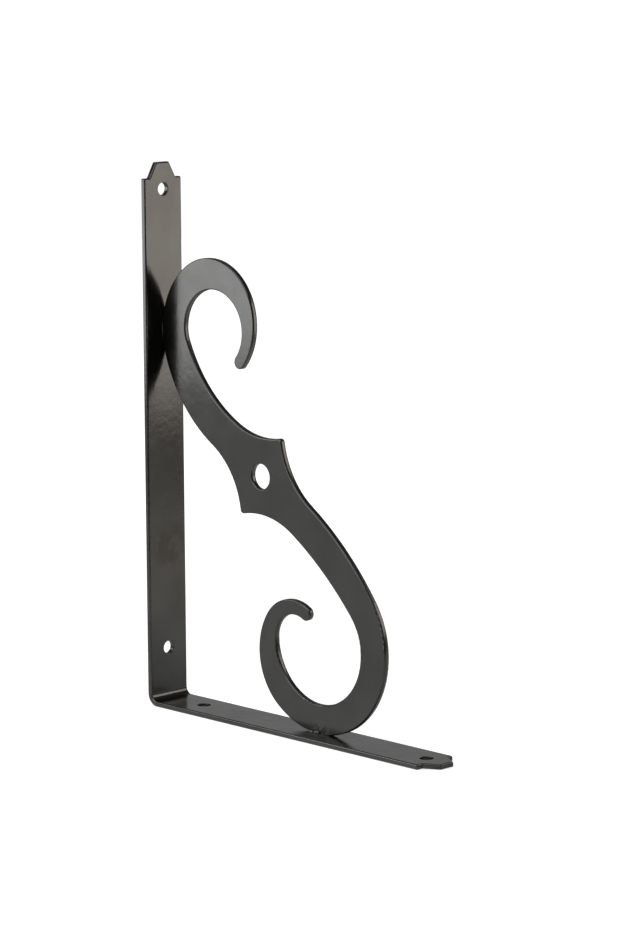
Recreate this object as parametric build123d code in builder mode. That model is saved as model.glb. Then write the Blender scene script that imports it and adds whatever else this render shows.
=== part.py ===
from build123d import *

import os
from math import cos, hypot, radians, sin

# Ornamental shelf bracket: a bent steel strap, an S-shaped scroll plate and the welds between them.
#
# Millimetres. The frame stands on the middle of the foot's underside: +X runs along the foot, away
# from the upright, +Y across the strap and +Z up the upright. The bracket is symmetric about the
# plane Y = 0, in which the scroll stands.

# ---- strap: one strip, bent once through a right angle -------------------------------------------
upright_height = 177.8  # outer corner to the upper tip
foot_length = 127.0  # outer corner to the foot's tip
strap_width = 16.0
strap_thickness = 1.6
bend_inner_radius = 2.4

# Both ends are cut to two square shoulders with a tapered tongue between them.
tongue_length = 5.0
tongue_base_width = 11.2
tongue_tip_width = 5.6
tongue_corner_radius = 0.5

# Two screw holes in each leg, on the strap's middle line.
screw_hole_radius = 2.1
hole_from_tip = 8.7
hole_from_corner = 18.3

strap_inner_arris = 0.55  # rolled over by the shear
strap_outer_arris = 0.2
screw_hole_arris = 0.25

# ---- scroll: one flat plate, stamped to an S ------------------------------------------------------
scroll_thickness = 2.0
scroll_front_arris = 0.4  # rolled over by the punch
scroll_back_arris = 0.25
weld_set_down = 0.25  # how far the scroll's edge melted away where it is welded to the strap

# The middle of the S: a round hole between two pointed ears.
hub_reach = 46.8  # from the wall face
hub_height = 80.6
hub_hole_radius = 4.1
hub_hole_arris = 0.3
ear_reach = 16.1  # from the hole to an ear's point
ear_angle = 55.0  # above the horizontal
ear_radius = 1.3

# Upper curl, outer edge: the radius of each arc away from the upright, and the angle it turns.
upper_contact_rise = 43.0  # where it meets the upright, above the hub
shoulder_radius = 25.8
shoulder_angle = 54.5
crown_radius = 20.2
crown_angle = 167.3
upper_tip_radius = 2.2
upper_tip_angle = 178.0
# ... and the same edge down from the upright to the lower ear.
waist_angle = 18.7
upper_flank_radius = 50.4
upper_flank_angle = 40.2

# Upper curl, inner edge, from its leftmost point.
upper_band_width = 10.4  # of the plate where it meets the upright
upper_eye_rise = 1.4  # above where the outer edge meets the upright
upper_eye_radius = 13.4
upper_eye_angle = 143.6
upper_throat_radius = 10.5
upper_throat_angle = 22.9
upper_back_radius = 49.0
upper_back_angle = 39.8

# Lower curl, outer edge: up to the upper ear on the right, and round to the tip on the left.
lower_contact_run = 26.1  # where it meets the foot, beyond the hub
heel_radius = 28.7
heel_angle = 125.8
lower_flank_radius = 107.0
lower_flank_angle = 20.7
toe_radius = 31.3
toe_angle = 36.8
belly_radius = 21.5
belly_angle = 86.9
hook_radius = 13.8
hook_angle = 86.7
lower_tip_radius = 2.2
lower_tip_angle = 180.0

# Lower curl, inner edge, from its lowest point.
lower_band_width = 9.2  # of the plate where it meets the foot
lower_eye_shift = 0.5  # towards the wall from where the outer edge meets the foot
lower_eye_radius = 18.5
lower_eye_angle = 130.5
lower_back_radius = 117.0
lower_back_angle = 16.7
lower_throat_radius = 19.3
lower_throat_angle = 88.2

# ---- welds: a short bead each side of the scroll, at both seats -----------------------------------
weld_length = 5.2
weld_leg = 0.9
upper_weld_offset = 0.0  # along the seat
lower_weld_offset = -2.2

# ---- derived places -------------------------------------------------------------------------------
wall_face = -foot_length / 2
foot_tip = foot_length / 2
upright_inner_face = wall_face + strap_thickness
bend_outer_radius = bend_inner_radius + strap_thickness
upper_hole_height = upright_height - hole_from_tip
outer_hole_reach = foot_tip - hole_from_tip
inner_hole_reach = wall_face + hole_from_corner

tolerance = 1e-4

hub = Vector(wall_face + hub_reach, hub_height)
ear_offset = Vector(cos(radians(ear_angle)), sin(radians(ear_angle))) * ear_reach
upper_ear = hub + ear_offset
lower_ear = hub - ear_offset
upper_seat = (upright_inner_face, hub_height + upper_contact_rise)
lower_seat = (wall_face + hub_reach + lower_contact_run, strap_thickness)
upper_contact = (upper_seat[0] - weld_set_down, upper_seat[1])
lower_contact = (lower_seat[0], lower_seat[1] - weld_set_down)
upper_eye_left = (upper_seat[0] + upper_band_width, upper_seat[1] + upper_eye_rise)
lower_eye_bottom = (lower_seat[0] - lower_eye_shift, lower_seat[1] + lower_band_width)


def arc_on(previous, radius, angle):
    """An arc that carries on smoothly from the end of the previous one."""
    return JernArc(start=previous @ 1, tangent=previous % 1, radius=radius, arc_size=angle)


def arc_to(previous, end):
    """An arc that carries on smoothly from the previous one and ends at a given point."""
    return TangentArc(previous @ 1, end, tangent=previous % 1)


def strip_end(length):
    """The strip seen face on, from its bend up to the tongue at its tip."""
    shoulder = length - tongue_length
    with BuildSketch() as view:
        with BuildLine():
            side = Polyline(
                (0, 0),
                (strap_width / 2, 0),
                (strap_width / 2, shoulder),
                (tongue_base_width / 2, shoulder),
                (tongue_tip_width / 2, length),
                (0, length),
            )
            mirror(side, about=Plane.YZ)
        make_face()
        corners = view.vertices().filter_by(lambda v: v.Y > tongue_length and abs(v.X) > tolerance)
        fillet(corners, radius=tongue_corner_radius)
    return view.sketch


def depth(point):
    """How deep a point of the strap lies below the outer skin, round the bend as well."""
    across = bend_outer_radius - (point.X - wall_face)
    down = bend_outer_radius - point.Z
    if across > 0 and down > 0:
        return bend_outer_radius - hypot(across, down)
    return bend_outer_radius - max(across, down)


def rim_at(strap_depth):
    """The strip's sheared outline on one of its two skins, without the lines that cross the bend."""
    return (
        angle_strap.edges()
        .filter_by(lambda e: all(abs(depth(e @ t) - strap_depth) < tolerance for t in (0, 0.5, 1)))
        .filter_by(lambda e: abs(e.length - strap_width) > tolerance)
    )


def bead_profile():
    """Half the outline of a weld bead, which is a slim spindle cut back to the corner it fills."""
    with BuildSketch() as profile:
        with BuildLine():
            crest = EllipticalCenterArc((0, 0), weld_length / 2, weld_leg, arc_size=180)
            Line(crest @ 0, crest @ 1)
        make_face()
    return profile.sketch


# ---- strap ----------------------------------------------------------------------------------------
with BuildPart() as angle_strap:
    # Seen from the side, the strip is bent once.
    with BuildSketch(Plane.XZ):
        with BuildLine():
            outer = FilletPolyline(
                (wall_face, upright_height),
                (wall_face, 0),
                (foot_tip, 0),
                radius=bend_outer_radius,
            )
            inner = FilletPolyline(
                (upright_inner_face, upright_height),
                (upright_inner_face, strap_thickness),
                (foot_tip, strap_thickness),
                radius=bend_inner_radius,
            )
            Line(outer @ 0, inner @ 0)
            Line(outer @ 1, inner @ 1)
        make_face()
    extrude(amount=strap_width / 2, both=True)

    # Seen face on, each leg ends in its tongue.
    with BuildSketch(Plane.YZ.offset(wall_face)):
        add(strip_end(upright_height))
    extrude(amount=foot_length, mode=Mode.INTERSECT)
    with BuildSketch(Plane(origin=(wall_face, 0, 0), x_dir=(0, -1, 0), z_dir=(0, 0, 1))):
        add(strip_end(foot_length))
    extrude(amount=upright_height, mode=Mode.INTERSECT)

    # The inner skin's arris is the rolled one, the outer skin's only has its burr taken off.
    fillet(rim_at(strap_thickness), radius=strap_inner_arris)
    fillet(rim_at(0), radius=strap_outer_arris)

    # Two plain screw holes in each leg.
    with BuildSketch(Plane.YZ.offset(wall_face)):
        with Locations((0, hole_from_corner), (0, upper_hole_height)):
            Circle(screw_hole_radius)
    extrude(amount=strap_thickness, mode=Mode.SUBTRACT)
    with BuildSketch(Plane.XY):
        with Locations((inner_hole_reach, 0), (outer_hole_reach, 0)):
            Circle(screw_hole_radius)
    extrude(amount=strap_thickness, mode=Mode.SUBTRACT)
    hole_rims = angle_strap.edges().filter_by(GeomType.CIRCLE).filter_by(
        lambda e: abs(e.radius - screw_hole_radius) < tolerance
        and abs(depth(e.arc_center) - strap_thickness) < tolerance
    )
    fillet(hole_rims, radius=screw_hole_arris)

# ---- scroll ---------------------------------------------------------------------------------------
with BuildPart() as scroll:
    with BuildSketch(Plane.XZ) as s_plate:
        with BuildLine():
            # Upper curl, outside: up over the crown to the tip, and down the flank to the lower ear.
            shoulder = JernArc(upper_contact, (0, 1), shoulder_radius, -shoulder_angle)
            crown = arc_on(shoulder, crown_radius, -crown_angle)
            upper_tip = arc_on(crown, upper_tip_radius, -upper_tip_angle)
            waist = JernArc(upper_contact, (0, -1), shoulder_radius, waist_angle)
            upper_flank = arc_on(waist, upper_flank_radius, upper_flank_angle)
            arc_to(upper_flank, lower_ear)

            # Upper curl, inside: over to the tip, and down the back to the upper ear.
            upper_eye = JernArc(upper_eye_left, (0, 1), upper_eye_radius, -upper_eye_angle)
            arc_to(upper_eye, upper_tip @ 1)
            upper_throat = JernArc(upper_eye_left, (0, -1), upper_throat_radius, upper_throat_angle)
            upper_back = arc_on(upper_throat, upper_back_radius, upper_back_angle)
            arc_to(upper_back, upper_ear)

            # Lower curl, outside: up the flank to the upper ear, and round the belly to the tip.
            heel = JernArc(lower_contact, (1, 0), heel_radius, heel_angle)
            lower_flank = arc_on(heel, lower_flank_radius, lower_flank_angle)
            arc_to(lower_flank, upper_ear)
            toe = JernArc(lower_contact, (-1, 0), toe_radius, -toe_angle)
            belly = arc_on(toe, belly_radius, -belly_angle)
            hook = arc_on(belly, hook_radius, -hook_angle)
            lower_tip = arc_on(hook, lower_tip_radius, -lower_tip_angle)

            # Lower curl, inside: up the back to the lower ear, and round the throat to the tip.
            lower_eye = JernArc(lower_eye_bottom, (1, 0), lower_eye_radius, lower_eye_angle)
            lower_back = arc_on(lower_eye, lower_back_radius, lower_back_angle)
            arc_to(lower_back, lower_ear)
            lower_throat = JernArc(lower_eye_bottom, (-1, 0), lower_throat_radius, -lower_throat_angle)
            arc_to(lower_throat, lower_tip @ 1)
        make_face()
        ears = s_plate.vertices().filter_by(
            lambda v: min(abs(Vector(v) - upper_ear), abs(Vector(v) - lower_ear)) < tolerance
        )
        fillet(ears, radius=ear_radius)
        with Locations(hub):
            Circle(hub_hole_radius, mode=Mode.SUBTRACT)
    extrude(amount=scroll_thickness / 2, both=True)

    # The punch rolls the front arris over, and leaves a smaller one behind.
    front = scroll.faces().sort_by(Axis.Y)[0]
    fillet(front.outer_wire().edges(), radius=scroll_front_arris)
    back = scroll.faces().sort_by(Axis.Y)[-1]
    fillet(back.outer_wire().edges(), radius=scroll_back_arris)
    hub_rims = scroll.edges().filter_by(GeomType.CIRCLE).filter_by(
        lambda e: abs(e.radius - hub_hole_radius) < tolerance
    )
    fillet(hub_rims, radius=hub_hole_arris)

    # Both seats melted flat against the strap.
    split(bisect_by=Plane.YZ.offset(upright_inner_face), keep=Keep.TOP)
    split(bisect_by=Plane.XY.offset(strap_thickness), keep=Keep.TOP)

# ---- welds ----------------------------------------------------------------------------------------
plate_faces = (-scroll_thickness / 2, scroll_thickness / 2)

with BuildPart() as upper_weld:
    for plate_face in plate_faces:
        seat = Plane(
            origin=(upper_seat[0], plate_face, upper_seat[1] + upper_weld_offset),
            x_dir=(0, 0, 1),
            z_dir=(0, 1, 0),
        )
        with BuildSketch(seat):
            add(bead_profile())
        revolve(axis=Axis(seat.origin, -seat.x_dir))
    split(bisect_by=Plane.YZ.offset(upright_inner_face), keep=Keep.TOP)
    add(scroll.part, mode=Mode.SUBTRACT)

with BuildPart() as lower_weld:
    for plate_face in plate_faces:
        seat = Plane(
            origin=(lower_seat[0] + lower_weld_offset, plate_face, lower_seat[1]),
            x_dir=(1, 0, 0),
            z_dir=(0, -1, 0),
        )
        with BuildSketch(seat):
            add(bead_profile())
        revolve(axis=Axis(seat.origin, -seat.x_dir))
    split(bisect_by=Plane.XY.offset(strap_thickness), keep=Keep.TOP)
    add(scroll.part, mode=Mode.SUBTRACT)

# ---- files ----------------------------------------------------------------------------------------
os.makedirs("parts", exist_ok=True)
angle_strap.part.label = "angle_strap"
scroll.part.label = "scroll"
upper_weld.part.label = "upper_weld"
lower_weld.part.label = "lower_weld"
for piece in (angle_strap.part, scroll.part, upper_weld.part, lower_weld.part):
    export_step(piece, f"parts/{piece.label}.step")
    print(piece.label, round(piece.volume, 1), "mm3", len(piece.faces()), "faces")
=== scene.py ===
# %% [markdown]
# # An ornamental shelf bracket in gloss black enamel
#
# The bracket is a bent steel strap with an S-shaped scroll plate standing on edge inside the angle.
# Short weld beads hold the scroll at its two seats, and the whole thing is dipped in black enamel.
# The strap and the scroll come in as a fixed frame with their true shape, so they stay as they are.
# What is left to make is the finish, the ragged little welds, and the light. Gloss black has hardly
# any colour of its own: what one sees in it is the room, so most of this lesson builds that room.
# Lengths are in metres, and three directions of the frame get names, because all that follows uses
# them.

from math import cos, pi, radians, sin

import bpy
from mathutils import Matrix, Vector


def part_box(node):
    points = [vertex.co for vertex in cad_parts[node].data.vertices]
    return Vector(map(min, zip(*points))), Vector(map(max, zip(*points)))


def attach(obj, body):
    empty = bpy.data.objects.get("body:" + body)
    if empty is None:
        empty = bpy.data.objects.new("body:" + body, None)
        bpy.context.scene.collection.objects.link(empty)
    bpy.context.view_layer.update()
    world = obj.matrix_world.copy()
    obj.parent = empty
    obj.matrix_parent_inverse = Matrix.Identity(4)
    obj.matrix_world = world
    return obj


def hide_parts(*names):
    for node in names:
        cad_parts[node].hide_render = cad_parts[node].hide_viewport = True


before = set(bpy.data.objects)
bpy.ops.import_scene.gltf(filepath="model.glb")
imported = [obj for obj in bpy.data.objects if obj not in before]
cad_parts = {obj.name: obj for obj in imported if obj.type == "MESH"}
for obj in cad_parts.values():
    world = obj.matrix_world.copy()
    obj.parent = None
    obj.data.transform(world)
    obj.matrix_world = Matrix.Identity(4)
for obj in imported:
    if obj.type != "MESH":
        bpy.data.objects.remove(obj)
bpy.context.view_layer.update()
bpy.ops.object.select_all(action="DESELECT")
for name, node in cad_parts.items():
    print("CAD piece", name, len(node.data.polygons), "triangles")

outward = Vector((1.0, 0.0, 0.0))  # along the foot, away from the upright
backward = Vector((0.0, 1.0, 0.0))  # across the strap, from its front to its back
upward = Vector((0.0, 0.0, 1.0))

# %% [markdown]
# ## The camera
#
# A product picture of something this flat is taken with a long lens from about a metre away, so
# that the strap keeps its parallel edges. The camera stands at 45 degrees to the foot and a little
# above the middle of the upright. It could be placed by dragging it about in a viewport. Here it is
# placed from its angles instead: a matrix has the camera's right, up and rearward directions as its
# columns. The level right and the level line of sight are handy again when the lamps are set up.

# %% Camera
camera_azimuth = radians(45.474)
camera_elevation = radians(9.47)
camera_roll = radians(-0.337)
camera_distance = 1.056
camera_target = Vector((0.005011, 0.0, 0.086564))
focal_length = 130.96  # mm
sensor_width = 36.0  # mm, along its longer side

rearward = Vector(
    (
        sin(camera_azimuth) * cos(camera_elevation),
        -cos(camera_azimuth) * cos(camera_elevation),
        sin(camera_elevation),
    )
)
level_right = Vector((cos(camera_azimuth), sin(camera_azimuth), 0.0))
depth_axis = Vector((-level_right.y, level_right.x, 0.0))
level_up = rearward.cross(level_right)
right = level_right * cos(camera_roll) + level_up * sin(camera_roll)
up = level_up * cos(camera_roll) - level_right * sin(camera_roll)

bpy.ops.object.camera_add()
camera = bpy.context.object
camera.name = "camera"
camera.data.lens = focal_length
camera.data.sensor_width = sensor_width
camera.data.clip_end = 50.0
stand = Matrix.Translation(camera_target + rearward * camera_distance)
turn = Matrix((right, up, rearward)).transposed().to_4x4()
camera.matrix_world = stand @ turn
bpy.context.scene.camera = camera
bpy.context.scene.view_settings.view_transform = "Standard"
print("camera at", [round(c, 3) for c in camera.matrix_world.translation])


# %% [markdown]
# ## Small helpers for node trees
#
# Every finish below is a node tree. Adding nodes one by one takes four lines each, which hides what
# the tree does, so this class keeps it short. `add` makes a node and fills its inputs, with either a
# value or another node's socket. `math`, `times` and `plus` join two numbers, `blend` and `tint` mix
# two numbers or two colours, and `fade` ramps smoothly from one value to another. `along` measures
# how far a point or a direction goes in one direction, and `distance` how far it is from a spot.

# %% Node helpers
class Tree:
    """A material's or world's node tree, emptied and ready to build."""

    def __init__(self, owner):
        owner.use_nodes = True
        self.nodes = owner.node_tree.nodes
        self.links = owner.node_tree.links
        self.nodes.clear()

    def add(self, kind, inputs=None, **settings):
        node = self.nodes.new(kind)
        for key, value in settings.items():
            setattr(node, key, value)
        for key, value in (inputs or {}).items():
            if isinstance(value, bpy.types.NodeSocket):
                self.links.new(value, node.inputs[key])
            else:
                node.inputs[key].default_value = value
        return node

    def place(self):
        return self.add("ShaderNodeTexCoord").outputs["Object"]

    def math(self, operation, a, b):
        return self.add("ShaderNodeMath", {0: a, 1: b}, operation=operation).outputs[0]

    def times(self, a, b):
        return self.math("MULTIPLY", a, b)

    def plus(self, a, b):
        return self.math("ADD", a, b)

    def blend(self, factor, a, b):
        node = self.add("ShaderNodeMix", {0: factor, 2: a, 3: b}, data_type="FLOAT")
        return node.outputs[0]

    def tint(self, factor, a, b):
        node = self.add("ShaderNodeMix", {0: factor, 6: a, 7: b}, data_type="RGBA")
        return node.outputs[2]

    def fade(self, value, low, high, to_low=0.0, to_high=1.0):
        node = self.add(
            "ShaderNodeMapRange",
            {"Value": value, "From Min": low, "From Max": high, "To Min": to_low, "To Max": to_high},
            interpolation_type="SMOOTHSTEP",
        )
        return node.outputs["Result"]

    def along(self, vector, axis):
        node = self.add("ShaderNodeVectorMath", {0: vector, 1: axis}, operation="DOT_PRODUCT")
        return node.outputs["Value"]

    def distance(self, vector, spot):
        node = self.add("ShaderNodeVectorMath", {0: vector, 1: spot}, operation="DISTANCE")
        return node.outputs["Value"]

    def shine(self, colour, strength):
        inputs = {"Color": colour, "Strength": strength}
        return self.add("ShaderNodeEmission", inputs).outputs[0]

    def show(self, shader):
        self.add("ShaderNodeOutputMaterial", {"Surface": shader})


white = (1.0, 1.0, 1.0, 1.0)

# %% [markdown]
# ## The room
#
# The foot of the bracket mirrors the backdrop straight behind it, the arrises mirror everything
# round about, and the eye reads both as "gloss". A plain white world would turn the bracket grey
# all over. So the world is painted by direction: a bright patch of backdrop straight ahead that
# fades out to both sides and upwards, and a dim studio elsewhere. Camera rays skip all that and see
# plain white, which is how a cut-out product picture looks.

# %% World
front_grey, side_grey, backdrop_glow = 0.15, 0.13, 0.505
patch_sides = (sin(radians(16.0)), sin(radians(32.0)), 1.0, 0.0)  # fades out to both sides
patch_top = (sin(radians(8.0)), sin(radians(38.0)), 1.0, 0.0)  # and upwards
front_to_back = (-0.6, 0.2)  # from the room on the camera's side to the backdrop's

world = bpy.data.worlds.new("studio")
bpy.context.scene.world = world
tree = Tree(world)
direction = tree.add("ShaderNodeTexCoord").outputs["Generated"]
ahead = tree.along(direction, depth_axis)
aside = tree.math("ABSOLUTE", tree.along(direction, level_right), 0.0)
height = tree.along(direction, upward)
patch = tree.times(tree.fade(aside, *patch_sides), tree.fade(height, *patch_top))
behind = tree.blend(patch, side_grey, backdrop_glow)
room = tree.blend(tree.fade(ahead, *front_to_back), front_grey, behind)
ray = tree.add("ShaderNodeLightPath").outputs
seen = tree.math("MAXIMUM", ray["Is Camera Ray"], ray["Is Transmission Ray"])
glow = tree.math("MAXIMUM", seen, room)
background = tree.add("ShaderNodeBackground", {"Color": white, "Strength": glow})
tree.add("ShaderNodeOutputWorld", {"Surface": background.outputs[0]})
print("world painted: front", front_grey, "sides", side_grey, "backdrop", backdrop_glow)

# %% [markdown]
# ## The table
#
# A white table carries the bracket and keeps its soft shadow. It could be a slab or a paper sweep
# that bends up at the back. But the bracket mirrors only its top, and the world already paints the
# backdrop, so one large flat sheet is enough. It lies a hair under the foot, so that the two faces
# don't fight for the same place.

# %% Table
table_left, table_right, table_front, table_back = 0.74, 0.66, 1.2, 1.6
table_level = -0.0002
bpy.ops.mesh.primitive_plane_add(size=1.0)
table = bpy.context.object
table.name = "table"
corners = [
    (-table_left, -table_front),
    (table_right, -table_front),
    (-table_left, table_back),
    (table_right, table_back),
]
for vertex, (across, along) in zip(table.data.vertices, corners):
    vertex.co = level_right * across + depth_axis * along
    vertex.co.z = table_level
print("table", round(table_left + table_right, 2), "by", round(table_front + table_back, 2), "m")

# %% [markdown]
# ## The table as the camera sees it
#
# Under soft lamps a white board comes out a light grey. In a studio it gets a light of its own,
# until it burns out to white and only the shadow is left. Here a glow is added to the plain board,
# for the camera's own rays alone: less near the bracket, where the lamps reach it and the shadow
# lies, and more far away.

# %% Table as seen
board_white = (0.8, 0.8, 0.8, 1.0)
lift_by_distance = (0.10, 0.42, 0.64, 1.06)

paint = bpy.data.materials.new("white_table")
tree = Tree(paint)
spot = tree.place()
reach = tree.add("ShaderNodeVectorMath", {0: spot}, operation="LENGTH").outputs["Value"]
lifted = tree.shine(white, tree.fade(reach, *lift_by_distance))
board = tree.add("ShaderNodeBsdfDiffuse", {"Color": board_white}).outputs[0]
burnt_out = tree.add("ShaderNodeAddShader", {0: board, 1: lifted}).outputs[0]
ray = tree.add("ShaderNodeLightPath").outputs
seen = tree.math("MAXIMUM", ray["Is Camera Ray"], ray["Is Transmission Ray"])
lit = tree.add("ShaderNodeMixShader", {0: seen, 1: board, 2: burnt_out}).outputs[0]
print("the board is lifted by", lift_by_distance[2], "near and", lift_by_distance[3], "far away")

# %% [markdown]
# ## The table as the enamel mirrors it
#
# In the enamel the table has to look real: bright near the object, falling off towards the camera
# and the back, warmer on the right where the lamp is a tungsten one, and a little dark right behind
# the foot, where the bracket shades it. A mirror image of the lit board would carry the grain of
# few light samples, so the glossy rays get this painted version. Each fade says where it starts and
# ends, and how bright the table is there.

# %% Table as mirrored
dark_in_front = (-0.26, -0.06, 0.22, 1.0)
dark_at_the_back = (0.05, 0.25, 1.0, 0.3)
brighter_to_the_right = (-0.05, 0.05, 0.96, 1.07)
dim_far_right = (0.24, 0.40, 1.0, 0.71)
shade_behind_the_foot = (0.0, 0.09, 0.60, 1.0)
no_shade_before_it = (-0.010, 0.0, 1.0, 0.0)
warm_to_the_right = (0.0, 0.2)
cool_paper, warm_paper = (1.0, 1.0, 0.98, 1.0), (1.04, 1.0, 0.9, 1.0)

ahead = tree.along(spot, depth_axis)
across = tree.along(spot, level_right)
behind_foot = tree.along(spot, backward)
paper = tree.times(tree.fade(ahead, *dark_in_front), tree.fade(ahead, *dark_at_the_back))
paper = tree.times(paper, tree.fade(across, *brighter_to_the_right))
paper = tree.times(paper, tree.fade(across, *dim_far_right))
shade = tree.math(
    "MAXIMUM",
    tree.fade(behind_foot, *shade_behind_the_foot),
    tree.fade(behind_foot, *no_shade_before_it),
)
tone = tree.tint(tree.fade(across, *warm_to_the_right), cool_paper, warm_paper)
mirrored = tree.shine(tone, tree.times(paper, shade))
shown = tree.add("ShaderNodeMixShader", {0: ray["Is Glossy Ray"], 1: lit, 2: mirrored})
tree.show(shown.outputs[0])
table.data.materials.append(paint)
print("table painted with", len(tree.nodes), "nodes")

# %% [markdown]
# ## What every lamp needs
#
# In gloss black a lamp is seen as itself. An area lamp would show a hard rim in the reflection, so
# each lamp is a glowing sheet of cloth instead, whose light can fall off towards its lower and upper
# hem, as real diffusers do. It lights the scene, but is neither seen nor casts a shadow.

# %% Lamp cloth
def hang_cloth(sheet, tint, radiance, heights=None):
    """Make a sheet glow. `heights` is where the light starts, is full, starts to fade and ends."""
    cloth = bpy.data.materials.new(sheet.name)
    tree = Tree(cloth)
    strength = radiance
    if heights:
        hem, full, fading, top = heights
        height = tree.along(tree.place(), upward)
        rise = tree.fade(height, hem, full, 0.0, radiance)
        strength = tree.times(rise, tree.fade(height, fading, top, 1.0, 0.0))
    tree.show(tree.shine(tint, strength))
    sheet.data.materials.append(cloth)
    sheet.visible_camera = False
    sheet.visible_shadow = False


# %% [markdown]
# ## The lamps
#
# Two soft boxes stand left and right of the object, and a large dim sheet hangs over it. The right
# one leans back, so walls that face up as well as right see past it and stay dark.

# %% Lamps
def soft_box(name, across, along, width, heights, radiance, tint, lean_back=0.0):
    """A glowing sheet beside the object. Its top stands `lean_back` further out than its hem."""
    hem, top = heights[0], heights[-1]
    bpy.ops.mesh.primitive_plane_add(size=1.0)
    sheet = bpy.context.object
    sheet.name = name
    corners = [(-0.5, hem, 0.0), (0.5, hem, 0.0), (-0.5, top, lean_back), (0.5, top, lean_back)]
    for vertex, (side, height, lean) in zip(sheet.data.vertices, corners):
        vertex.co = level_right * (across + lean) + depth_axis * (along + side * width)
        vertex.co.z = height
    hang_cloth(sheet, tint, radiance, heights)
    print(name, "from", hem, "to", top, "m high")


warm = (1.0, 0.92, 0.83, 1.0)
soft_box("left_box", -0.26, -0.095, 0.37, (0.063, 0.093, 0.24, 0.29), 3.85, white)
soft_box("right_box", 0.18, 0.02, 0.20, (0.044, 0.081, 0.30, 0.345), 3.25, warm, lean_back=0.20)

top_place = level_right * -0.20 + depth_axis * -0.30 + upward * 0.50
bpy.ops.mesh.primitive_plane_add(size=0.5, location=top_place)
top_sheet = bpy.context.object
top_sheet.name = "top_sheet"
hang_cloth(top_sheet, white, 2.3)
print("top_sheet", round(top_place.z, 2), "m above the table")

# %% [markdown]
# ## Puddles and spatter
#
# Each seat of the scroll has a short bead on both sides of the plate. A hand-laid bead is a row of
# overlapping puddles that froze one after another, so it is lumpy where a CAD fillet is smooth. It
# could be sculpted, but a row of small balls says the same thing. Drops that flew off the arc stuck
# round it, a little more thickly close by. The golden angle spreads them without a pattern.

# %% Balls for a bead
puddles = 7
end_swell, middle_swell = 0.60, 0.40  # a puddle's radius in legs, and what the middle adds to it
row_ends = 1.3  # legs that the two end puddles take from the length of the row
wobble, wobble_pace = 0.10, 5.1  # how much the radii vary, and how fast along the row
golden_angle = 2.39996
spatter_reach = 0.0030
spatter_drift = 0.0026  # the lower weld threw its drops towards the tip of the foot
spatter_lift = 0.0004  # the lowest drops sit this far above the strap
crowding = 0.6  # 0.5 spreads the drops evenly, and more crowds them towards the bead
smallest_drop, drop_range, drop_pace = 0.00012, 0.00012, 7.7  # radius, what is added, how fast


def puddle_row(centre, run, leg, length, lean, seed):
    """A row of balls along one corner, which overlap where `leg` is large enough. It is fullest in
    the middle, or further along the run where `lean` is over 1."""
    balls = []
    for index in range(puddles):
        share = (index + 0.5) / puddles
        swell = end_swell + middle_swell * sin(pi * share**lean)
        radius = leg * swell * (1.0 + wobble * sin(wobble_pace * index + seed))
        place = centre + run * ((share - 0.5) * (length - row_ends * leg))
        bpy.ops.mesh.primitive_ico_sphere_add(subdivisions=3, radius=radius, location=place)
        balls.append(bpy.context.object)
    return balls


def spatter(centre, run, out, spots, seed):
    """Small drops that flew off and stuck to the plate round the bead."""
    drops = []
    for index in range(spots):
        turn = golden_angle * index + seed
        reach = spatter_reach * ((index + 1.0) / spots) ** crowding
        along = spatter_drift + cos(turn) * reach
        place = centre + run * along + out * (spatter_lift + abs(sin(turn)) * reach)
        radius = smallest_drop + drop_range * (0.5 + 0.5 * sin(drop_pace * index + seed))
        bpy.ops.mesh.primitive_ico_sphere_add(subdivisions=2, radius=radius, location=place)
        drops.append(bpy.context.object)
    return drops


# %% [markdown]
# ## Melting and trimming
#
# Molten steel has one skin. A boolean union would keep a crease wherever two balls meet, so the balls
# are joined, melted by a voxel remesh and relaxed by a smooth modifier. What lies inside the steel is
# then cut away, a hair below the two faces that the bead sits on, so that no gap shows round it.
#
# One flaw is left. Bisect takes points within 0.1 mm of its plane as lying on it, and that is more
# than a voxel here. So its fill lays some of the hidden faces twice, and a bead reaches up to 0.1 mm
# deeper than its cut. A finer threshold avoids both.

# %% Melt and trim
weld_skin = 0.00007  # voxel size of the melted skin
sunk = 0.00012  # how deep inside the steel a bead is cut off


def join(pieces, name):
    """Make one object of several."""
    bpy.ops.object.select_all(action="DESELECT")
    for piece in pieces:
        piece.select_set(True)
    whole = pieces[0]
    bpy.context.view_layer.objects.active = whole
    bpy.ops.object.join()
    whole.name = name
    return whole


def melt(balls, name):
    """Join the balls and give those that touch one slightly relaxed skin."""
    bead = join(balls, name)
    bpy.ops.object.transform_apply(location=True, rotation=True, scale=True)
    skin = bead.modifiers.new("skin", "REMESH")
    skin.mode = "VOXEL"
    skin.voxel_size = weld_skin
    relax = bead.modifiers.new("relax", "SMOOTH")
    relax.factor = 0.5
    relax.iterations = 3
    for modifier in ("skin", "relax"):
        bpy.ops.object.modifier_apply(modifier=modifier)
    return bead


def trim(bead, point, normal):
    """Cut away what lies behind a steel face, and close the cut."""
    bpy.ops.object.mode_set(mode="EDIT")
    bpy.ops.mesh.select_all(action="SELECT")
    bpy.ops.mesh.bisect(plane_co=point, plane_no=normal, use_fill=True, clear_inner=True)
    bpy.ops.object.mode_set(mode="OBJECT")


# %% [markdown]
# ## The weld beads
#
# A pair of beads replaces each plain CAD weld, in the same place and along the same run. The upper
# pair is so thin that its puddles don't reach each other, and stays a row of seven small tacks on
# each side. The lower one was laid by a heavier hand: it is one full bead a side, which swells
# towards the tip of the foot and has spatter round it.

# %% Make the beads
plate_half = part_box("scroll")[1][1]


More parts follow.
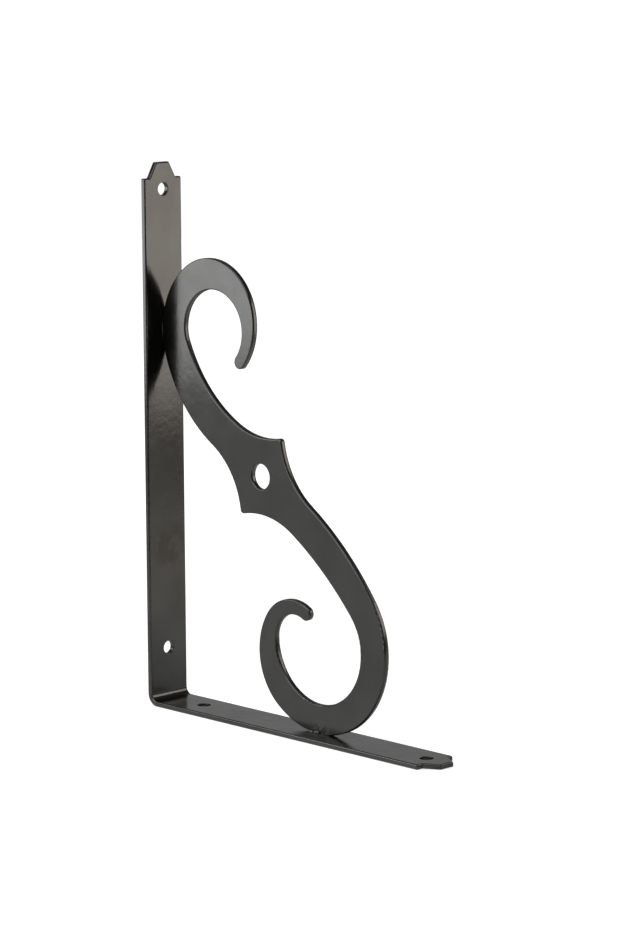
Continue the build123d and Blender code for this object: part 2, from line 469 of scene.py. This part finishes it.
def weld(node, run, out, fullness, lean, spots, seed):
    """The pair of beads at one seat. `run` follows the strap, `out` leaves its face."""
    low, high = (Vector(corner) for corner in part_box(node))
    middle = (low + high) / 2
    length = (high - low).dot(run)
    leg = (high - low).dot(out) * fullness
    floor = low.dot(out)
    beads = []
    for side in (-1.0, 1.0):
        face = backward * side
        centre = run * middle.dot(run) + out * floor + face * plate_half
        balls = puddle_row(centre, run, leg, length, lean, seed + side)
        balls += spatter(centre, run, out, spots, seed + 2.0 * side)
        bead = melt(balls, node + "_bead")
        trim(bead, out * (floor - sunk), out)
        trim(bead, face * (plate_half - sunk), face)
        beads.append(bead)
    pair = join(beads, node + "_beads")
    bpy.ops.object.shade_smooth()
    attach(pair, "root")
    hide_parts(node)
    print(pair.name, len(pair.data.polygons), "faces,", round(length * 1000, 1), "mm long")
    return pair


upper_beads = weld("upper_weld", upward, outward, 0.30, 1.0, 0, 0.4)
lower_beads = weld("lower_weld", outward, upward, 1.25, 2.8, 16, 2.3)

# %% [markdown]
# ## What all the enamel shares
#
# Baked enamel is a thick glassy coat: a near-black body under a clear, strongly mirroring skin. Its
# patterns hang on Object coordinates in metres, so they stay put from every side. An image texture
# would need an unwrap and would stretch round the scroll. A pattern of patches is a size in metres,
# a level of detail, and the two levels of noise between which it fades in. A pattern of ripples is a
# size, a level of detail and a height.

# %% Enamel helpers
enamel_index = 1.6
body_black = (0.0008, 0.0008, 0.0007, 1.0)
# A lighter brown. On the arrises it is partly worn coat and partly a painted highlight, and on the
# welds it is a speckle.
pale_brown = (0.020, 0.0165, 0.0125, 1.0)


def noise(tree, place, size, detail):
    """Cloudy noise whose lumps are about `size` metres across."""
    inputs = {"Vector": place, "Scale": 1.0 / size, "Detail": detail, "Roughness": 0.55}
    return tree.add("ShaderNodeTexNoise", inputs).outputs[0]


def patches(tree, place, pattern, to_low=0.0, to_high=1.0):
    """Soft-edged patches, from `to_low` between them to `to_high` in them."""
    size, detail, low, high = pattern
    return tree.fade(noise(tree, place, size, detail), low, high, to_low, to_high)


def ripples(tree, place, pattern):
    """Waviness of the surface, in metres of height."""
    size, detail, height = pattern
    return tree.times(noise(tree, place, size, detail), height)


def bake(tree, colour, roughness, surface, mirror=white):
    """Finish an enamel: one glossy shader over a surface with real heights."""
    bump = tree.add("ShaderNodeBump", {"Strength": 1.0, "Distance": 1.0, "Height": surface})
    inputs = {
        "Base Color": colour,
        "Roughness": roughness,
        "IOR": enamel_index,
        "Specular Tint": mirror,
        "Normal": bump.outputs[0],
    }
    tree.show(tree.add("ShaderNodeBsdfPrincipled", inputs).outputs[0])


# %% [markdown]
# ## Wear with a painted edge highlight, rust and scorch
#
# A plain black shader would be too clean. Three things dull real enamel on cheap steel in places:
#
# * arrises wear, because the coat drew back from the sharp edge and shows a warmer, duller brown.
#   That lighter brown is also a painted highlight, which stands in for the lamps' gleam on the
#   arrises.
#   A normal that points half way between a face's and a wall's gives an arris away,
# * a blotch on the upright, where a little rust blooms through the coat and browns its mirror,
# * round the lower weld the heat scorched it: it is paler there, and dull in spots.

# %% Wear with a painted edge highlight, rust and scorch
# This gives where the arrises are worn, which is also where their painted highlight lies.
arris_band = (0.06, 0.24)
rub_and_highlight_pattern = (0.004, 3.0, 0.42, 0.62)
rust_reach = (0.004, 0.010, 1.0, 0.0)
rust_pattern = (0.0035, 4.0, 0.36, 0.54)
scorch_reach = (0.0012, 0.0056, 1.0, 0.0)
scorch_pattern = (0.0016, 3.0, 0.38, 0.60)
weld_low, weld_high = (Vector(corner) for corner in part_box("lower_weld"))
scorched_spot = (weld_low + weld_high) / 2 + outward * spatter_drift


def worn_and_edge_highlight(tree, place, facing):
    """How worn the coat is on the arrises, where its lighter brown is also a painted highlight.
    `facing` is 0 or 1 on the two sides of an arris, and a half on it.
    """
    arris = tree.times(facing, tree.math("SUBTRACT", 1.0, facing))
    return tree.times(tree.fade(arris, *arris_band), patches(tree, place, rub_and_highlight_pattern))


def rusted(tree, place, spot):
    """How much rust blooms through the coat round a spot."""
    near = tree.fade(tree.distance(place, spot), *rust_reach)
    return tree.times(near, patches(tree, place, rust_pattern))


def scorched(tree, place):
    """How scorched the coat is by the lower weld."""
    near = tree.fade(tree.distance(place, scorched_spot), *scorch_reach)
    return tree.times(near, patches(tree, place, scorch_pattern))


# %% [markdown]
# ## The blanked edge of the plate
#
# The scroll was punched out of sheet. Its wall is a shallow arc from front to back with three bands:
# the front arris that the punch rolled over, a smooth land, and a duller torn band where the steel
# broke away. The outline is the CAD's, and these bands are hundredths of a millimetre deep, so they
# are heights that tilt the mirror image and no shapes of their own.

# %% Blanked edge
wall_only = (0.05, 0.2, 1.0, 0.0)  # by facing, which is 0 on the plate's wall and 1 on its faces
roll_start = -0.0004  # the arris rolls over from here to the front
roll_bend = 670.0  # per metre
torn_start = (-0.0001, 0.0004)
tear_pattern = (0.0005, 3.0, 0.00003)


def blanked_edge(tree, place, facing, wall_radius):
    """The heights of the wall's arc and of its tears, and where it is torn."""
    depth = tree.along(place, backward)
    wall = tree.fade(facing, *wall_only)
    arc = tree.times(tree.times(depth, depth), -0.5 / wall_radius)
    past = tree.math("MAXIMUM", tree.math("SUBTRACT", roll_start, depth), 0.0)
    roll = tree.times(tree.times(past, past), -roll_bend)
    arc = tree.times(tree.plus(arc, roll), wall)
    torn = tree.times(tree.fade(depth, *torn_start), wall)
    tears = tree.times(ripples(tree, place, tear_pattern), torn)
    return arc, tears, torn


# %% [markdown]
# ## Gloss black enamel
#
# The coat itself is uneven too. It has
#
# * orange peel, the fine waviness of a coat that levelled only in part, and slower waves below it,
# * a thin brown haze in clouds, where the coat is thinner or has been handled,
# * a film of dust that takes a little off its mirror,
# * duller patches, so that the roughness drifts from place to place.
#
# The plate came out a little duller than the strap, so each gets its own coat of the same enamel.

# %% Enamel
haze_brown = (0.0040, 0.0036, 0.0029, 1.0)
scorched_brown = (0.044, 0.041, 0.035, 1.0)
dusty_mirror, stained_mirror = (0.88, 0.87, 0.85, 1.0), (0.80, 0.72, 0.68, 1.0)
haze_pattern = (0.016, 4.0, 0.38, 0.68)
film_pattern = (0.018, 5.0, 0.36, 0.62)
drift_pattern = (0.011, 3.0, 0.3, 0.7)
glossier, duller = -0.025, 0.03  # how far the roughness drifts
worn_dulling, scorched_dulling, torn_dulling = 0.10, 0.12, 0.12
peel_pattern = (0.0020, 1.5, 0.000034)
wave_pattern = (0.013, 1.0, 0.000030)


def make_enamel(name, gloss, wall_radius=None, rust_spot=None):
    """Gloss black enamel. `gloss` is its roughness. A blanked plate has a `wall_radius`."""
    material = bpy.data.materials.new(name)
    tree = Tree(material)
    place = tree.place()
    normal = tree.add("ShaderNodeNewGeometry").outputs["Normal"]
    facing = tree.math("POWER", tree.along(normal, backward), 2.0)
    wear_and_highlight = worn_and_edge_highlight(tree, place, facing)
    scorch = scorched(tree, place)

    colour = tree.tint(patches(tree, place, haze_pattern), body_black, haze_brown)
    # The arrises get the lighter brown, which is partly worn coat and partly a painted highlight.
    colour = tree.tint(wear_and_highlight, colour, pale_brown)
    colour = tree.tint(scorch, colour, scorched_brown)
    mirror = tree.tint(patches(tree, place, film_pattern), dusty_mirror, white)
    if rust_spot:
        mirror = tree.tint(rusted(tree, place, rust_spot), mirror, stained_mirror)

    drift = patches(tree, place, drift_pattern, gloss + glossier, gloss + duller)
    roughness = tree.plus(drift, tree.times(wear_and_highlight, worn_dulling))
    roughness = tree.plus(roughness, tree.times(scorch, scorched_dulling))
    surface = tree.plus(ripples(tree, place, peel_pattern), ripples(tree, place, wave_pattern))
    if wall_radius:
        arc, tears, torn = blanked_edge(tree, place, facing, wall_radius)
        surface = tree.plus(tree.plus(surface, arc), tears)
        roughness = tree.plus(roughness, tree.times(torn, torn_dulling))
    bake(tree, colour, roughness, surface, mirror)
    return material


strap_thickness = 0.0016
upright_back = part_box("angle_strap")[0][0]
rust_spot = Vector((upright_back + strap_thickness, 0.001, 0.0525))  # on the inner face
strap_enamel = make_enamel("strap_enamel", 0.19, rust_spot=rust_spot)
scroll_enamel = make_enamel("scroll_enamel", 0.21, wall_radius=0.0026)
for node, enamel in (("angle_strap", strap_enamel), ("scroll", scroll_enamel)):
    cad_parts[node].data.materials.clear()
    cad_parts[node].data.materials.append(enamel)
print("enamel on the strap and the scroll")

# %% [markdown]
# ## Enamel over the welds
#
# Scale and spatter under the coat keep it from levelling over a weld, so there it is rough, lumpy
# and a little paler. It is the same enamel with more tooth: stronger, finer bumps, a duller skin and
# a speckle of haze.

# %% Weld enamel
speckle_pattern = (0.0006, 4.0, 0.45, 0.65)
dull_pattern = (0.0012, 3.0, 0.35, 0.65)
smoothest, roughest = 0.26, 0.42
grit_pattern = (0.0004, 3.0, 0.00008)

rough_enamel = bpy.data.materials.new("weld_enamel")
tree = Tree(rough_enamel)
place = tree.place()
colour = tree.tint(patches(tree, place, speckle_pattern), body_black, pale_brown)
roughness = patches(tree, place, dull_pattern, smoothest, roughest)
bake(tree, colour, roughness, ripples(tree, place, grit_pattern))
for beads in (upper_beads, lower_beads):
    beads.data.materials.clear()
    beads.data.materials.append(rough_enamel)
print("rough enamel on", upper_beads.name, "and", lower_beads.name)
